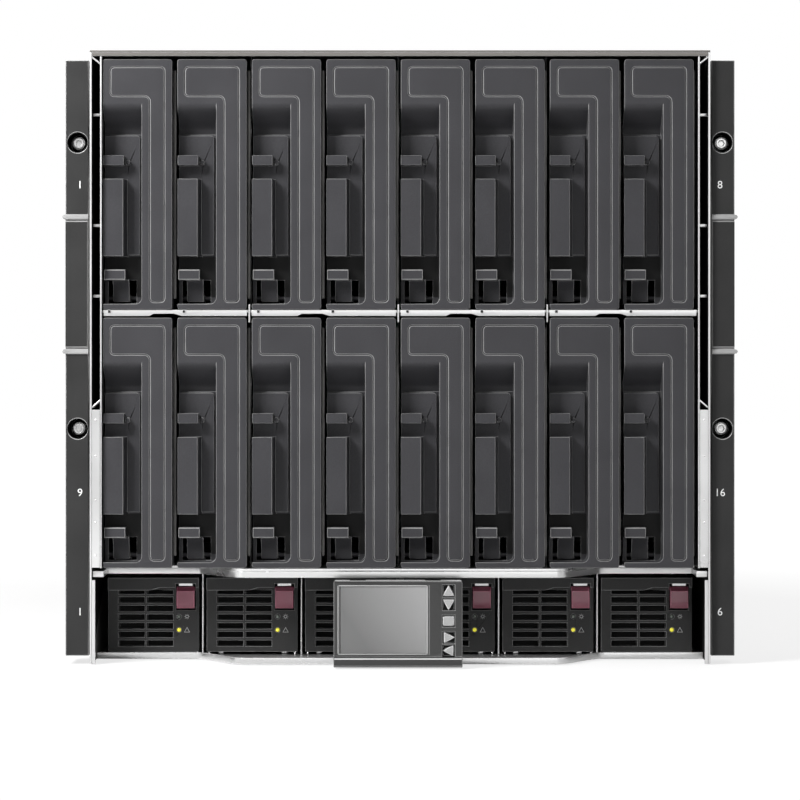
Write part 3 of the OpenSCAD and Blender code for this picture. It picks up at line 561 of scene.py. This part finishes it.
def ring(x, z, r_in, r_out, y_front, y_back, n=28):
    verts, faces = [], []
    for y in (y_front, y_back):
        for r in (r_in, r_out):
            turns = [2 * math.pi * k / n for k in range(n)]
            verts += [(x + r * math.cos(t), y, z + r * math.sin(t)) for t in turns]
    for k in range(n):
        m = (k + 1) % n
        faces += [[k, m, n + m, n + k], [2 * n + k, 3 * n + k, 3 * n + m, 2 * n + m],
                  [n + k, n + m, 3 * n + m, 3 * n + k], [k, 2 * n + k, 2 * n + m, m]]
    return verts, faces


def dome(x, z, r, y_base, rise, n=20, rows=4):
    """Domed lens that stands towards -Y."""
    verts, faces = [(x, y_base - rise, z)], []
    for j in range(1, rows + 1):
        a = j / rows * math.pi / 2
        verts += [(x + r * math.sin(a) * math.cos(2 * math.pi * k / n),
                   y_base - rise * math.cos(a),
                   z + r * math.sin(a) * math.sin(2 * math.pi * k / n)) for k in range(n)]
    for k in range(n):
        m = (k + 1) % n
        faces.append([0, 1 + k, 1 + m])
        for j in range(rows - 1):
            a, b = 1 + j * n, 1 + (j + 1) * n
            faces.append([a + k, b + k, b + m, a + m])
    faces.append([1 + (rows - 1) * n + k for k in range(n)][::-1])
    return verts, faces


def frame_outline(points, width, y_front, y_back):
    """Flat outline of a polygon, drawn with strokes of one width."""
    parts = []
    n = len(points)
    for k in range(n):
        a, b = Vector(points[k]), Vector(points[(k + 1) % n])
        d = (b - a).normalized()
        s = Vector((-d[1], d[0])) * width / 2
        e = d * width / 2
        corners = [tuple(a - e - s), tuple(b + e - s), tuple(b + e + s), tuple(a - e + s)]
        parts.append(prism(corners, y_front, y_back))
    return merge(parts)


def numeral(text, x, z):
    """Plain raised numeral on an ear cover."""
    curve = bpy.data.curves.new("numeral", "FONT")
    curve.body = text
    curve.size = NUMERAL_SIZE
    curve.align_x = "CENTER"
    curve.align_y = "CENTER"
    curve.extrude = 0.00003
    holder = bpy.data.objects.new("numeral", curve)
    scene.collection.objects.link(holder)
    bpy.context.view_layer.update()
    shaped = holder.evaluated_get(bpy.context.evaluated_depsgraph_get())
    mesh = bpy.data.meshes.new_from_object(shaped)
    bpy.data.objects.remove(holder)
    upright = Matrix.Rotation(math.radians(90), 4, "X")
    mesh.transform(Matrix.Translation((x, NUMERAL_Y, z)) @ upright)
    mesh.materials.clear()
    mesh.materials.append(white_print)
    side = "left" if x < 0 else "right"
    obj = bpy.data.objects.new(f"numeral_{side}_{text}_{int(z * 1000)}", mesh)
    scene.collection.objects.link(obj)
    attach(obj, "chassis")


def add_numerals():
    for text, x, z in [("1", -0.2308, 0.345), ("9", -0.2308, 0.123), ("1", -0.2308, 0.037),
                       ("8", 0.2308, 0.345), ("16", 0.2308, 0.123), ("6", 0.2308, 0.037)]:
        numeral(text, x, z)


def add_supply_marks():
    """Two lamp lenses on each power supply, with a triangle and a rayed ring beside them."""
    for n in range(6):
        x0 = supply_left(n)
        body = f"power_supply_{n + 1}"
        for z, mat, kind in ((LAMP_Z[0], lamp_on, "alert"), (LAMP_Z[1], lamp_off, "power")):
            v, f = dome(x0 + LAMP_X, SUPPLY_Z + z, LENS_R, LENS_BASE_Y, LENS_RISE)
            add_mesh(f"lamp_{kind}_{n + 1}", v, f, mat, body, smooth=True)
        ix = x0 + ICON_X
        z = SUPPLY_Z + LAMP_Z[0]
        triangle = [(ix - 0.0019, z - 0.0016), (ix + 0.0019, z - 0.0016), (ix, z + 0.0018)]
        parts = [frame_outline(triangle, 0.00034, -PRINT_OUT, PRINT_IN)]
        z = SUPPLY_Z + LAMP_Z[1]
        parts.append(ring(ix, z, 0.0008, 0.00115, -PRINT_OUT, PRINT_IN))
        c = Vector((ix, z))
        for k in range(8):
            a = k * math.pi / 4
            p, q = (Vector((math.cos(a), math.sin(a))) * r for r in (0.0014, 0.0019))
            s = Vector((-math.sin(a), math.cos(a))) * 0.00015
            ray = [tuple(c + p - s), tuple(c + q - s), tuple(c + q + s), tuple(c + p + s)]
            parts.append(prism(ray, -PRINT_OUT, PRINT_IN))
        v, f = merge(parts)
        add_mesh(f"lamp_icons_{n + 1}", v, f, grey_print, body)


def add_recess_shade_sheets():
    """Black sheet at the foot of each hand recess, round the latch window, as painted shade."""
    corners = [(0.0002, 0.0216), (0.0232, 0.0216), (0.0232, 0.0090), (0.0274, 0.0090),
               (0.0274, 0.0383), (0.0002, 0.0383)]
    for i in range(16):
        x0, z0 = bay_left(i), ROW_Z[i // 8]
        v, f = prism([(x0 + x, z0 + z) for x, z in corners], BLANK_Y + 0.01694, BLANK_Y + 0.0171)
        add_mesh(f"recess_shade_sheet_{i + 1:02d}", v, f, recess_painted_shade, f"blade_blank_{i + 1:02d}")


def add_shade_sheet():
    """Black sheet behind the midplane, painted shade that keeps daylight from the gaps."""
    low, high = SHADE_SHEET_Z
    v, f = prism([(-SHADE_SHEET_X, low), (SHADE_SHEET_X, low), (SHADE_SHEET_X, high), (-SHADE_SHEET_X, high)],
                 *SHADE_SHEET_Y)
    add_mesh("midplane_shade_sheet", v, f, painted_shade, "chassis")


def add_rivets():
    """Small domed rivets on the plates beside the lower row."""
    parts = []
    for side in (-1, 1):
        for z in (0.078, 0.102, 0.118, 0.150, 0.176):
            parts.append(dome(side * 0.2192, z, 0.0007, FRONT, 0.0004, n=12, rows=3))
    v, f = merge(parts)
    add_mesh("plate_rivets", v, f, pale_steel_and_highlight, "chassis", smooth=True)


def side_rivet(side, y, z, r=0.0022, rise=0.0007, n=14, rows=3):
    """Domed rivet head on the outside of a side sheet."""
    x = side * HALF
    verts, faces = [(x + side * rise, y, z)], []
    for j in range(1, rows + 1):
        a = j / rows * math.pi / 2
        verts += [(x + side * rise * math.cos(a),
                   y + r * math.sin(a) * math.cos(2 * math.pi * k / n),
                   z + r * math.sin(a) * math.sin(2 * math.pi * k / n)) for k in range(n)]
    for k in range(n):
        m = (k + 1) % n
        faces.append([0, 1 + k, 1 + m] if side > 0 else [0, 1 + m, 1 + k])
        for j in range(rows - 1):
            a, b = 1 + j * n, 1 + (j + 1) * n
            quad = [a + k, b + k, b + m, a + m]
            faces.append(quad if side > 0 else quad[::-1])
    return verts, faces


def add_side_rivets():
    """Rows of rivets along the edges, at the midplane and at the shelves of both sides."""
    parts = []
    for side in (-1, 1):
        for y in [0.02 + 0.058 * k for k in range(13)]:
            for z in (0.010, CASE_H - 0.010):
                parts.append(side_rivet(side, y, z))
        for y in (0.472, 0.49):
            for z in [0.05 + 0.057 * k for k in range(7)]:
                parts.append(side_rivet(side, y, z))
        for y in [0.06 + 0.08 * k for k in range(6)]:
            for z in (0.066, 0.2525):
                parts.append(side_rivet(side, y, z, r=0.0016, rise=0.0005))
    v, f = merge(parts)
    add_mesh("side_rivets", v, f, case_steel, "chassis", smooth=True)


def add_display_trim():
    """Thin bright frame round the screen and the line over the pull lip."""
    x0, x1, z0, z1 = PANEL_X + SCREEN[0], PANEL_X + SCREEN[1], SCREEN[2], SCREEN[3]
    v, f = frame_outline([(x0, z0), (x1, z0), (x1, z1), (x0, z1)], 0.0006,
                         PANEL_Y - 0.00008, PANEL_Y + PRINT_IN)
    add_mesh("screen_frame", v, f, grey_print, "display_panel")
    half = 0.0452
    v, f = prism([(PANEL_X - half, PANEL_Z - 0.0011), (PANEL_X + half, PANEL_Z - 0.0011),
                  (PANEL_X + half, PANEL_Z - 0.0003), (PANEL_X - half, PANEL_Z - 0.0003)],
                 PANEL_Y - 0.00205, PANEL_Y - 0.0019)
    add_mesh("pull_lip_line", v, f, bright, "display_panel")


add_camera()
add_world()
add_lamp("key", (-0.86, -0.72, 0.98), (-0.14, 0, 0.28), (0.5, 0.5), 30)
add_lamp("fill", (0.4, -3.0, 0.8), (0, 0, 0.2), (1.4, 1.4), 6)
add_lamp("top", (0.2, 0.3, 2.4), (0, 0.3, 0.2), (1.8, 1.8), 20)
add_lamp("back", (0.8, 3.0, 1.5), (0, 0.6, 0.2), (1.6, 1.6), 26)
add_lamp("right", (2.6, 0.6, 1.0), (0, 0.3, 0.2), (1.4, 1.4), 14)
add_floor()
dress_chassis()
dress_display()
dress_supplies()
dress_blanks()
dress_rear()
add_numerals()
add_supply_marks()
add_recess_shade_sheets()
add_shade_sheet()
add_rivets()
add_side_rivets()
add_display_trim()
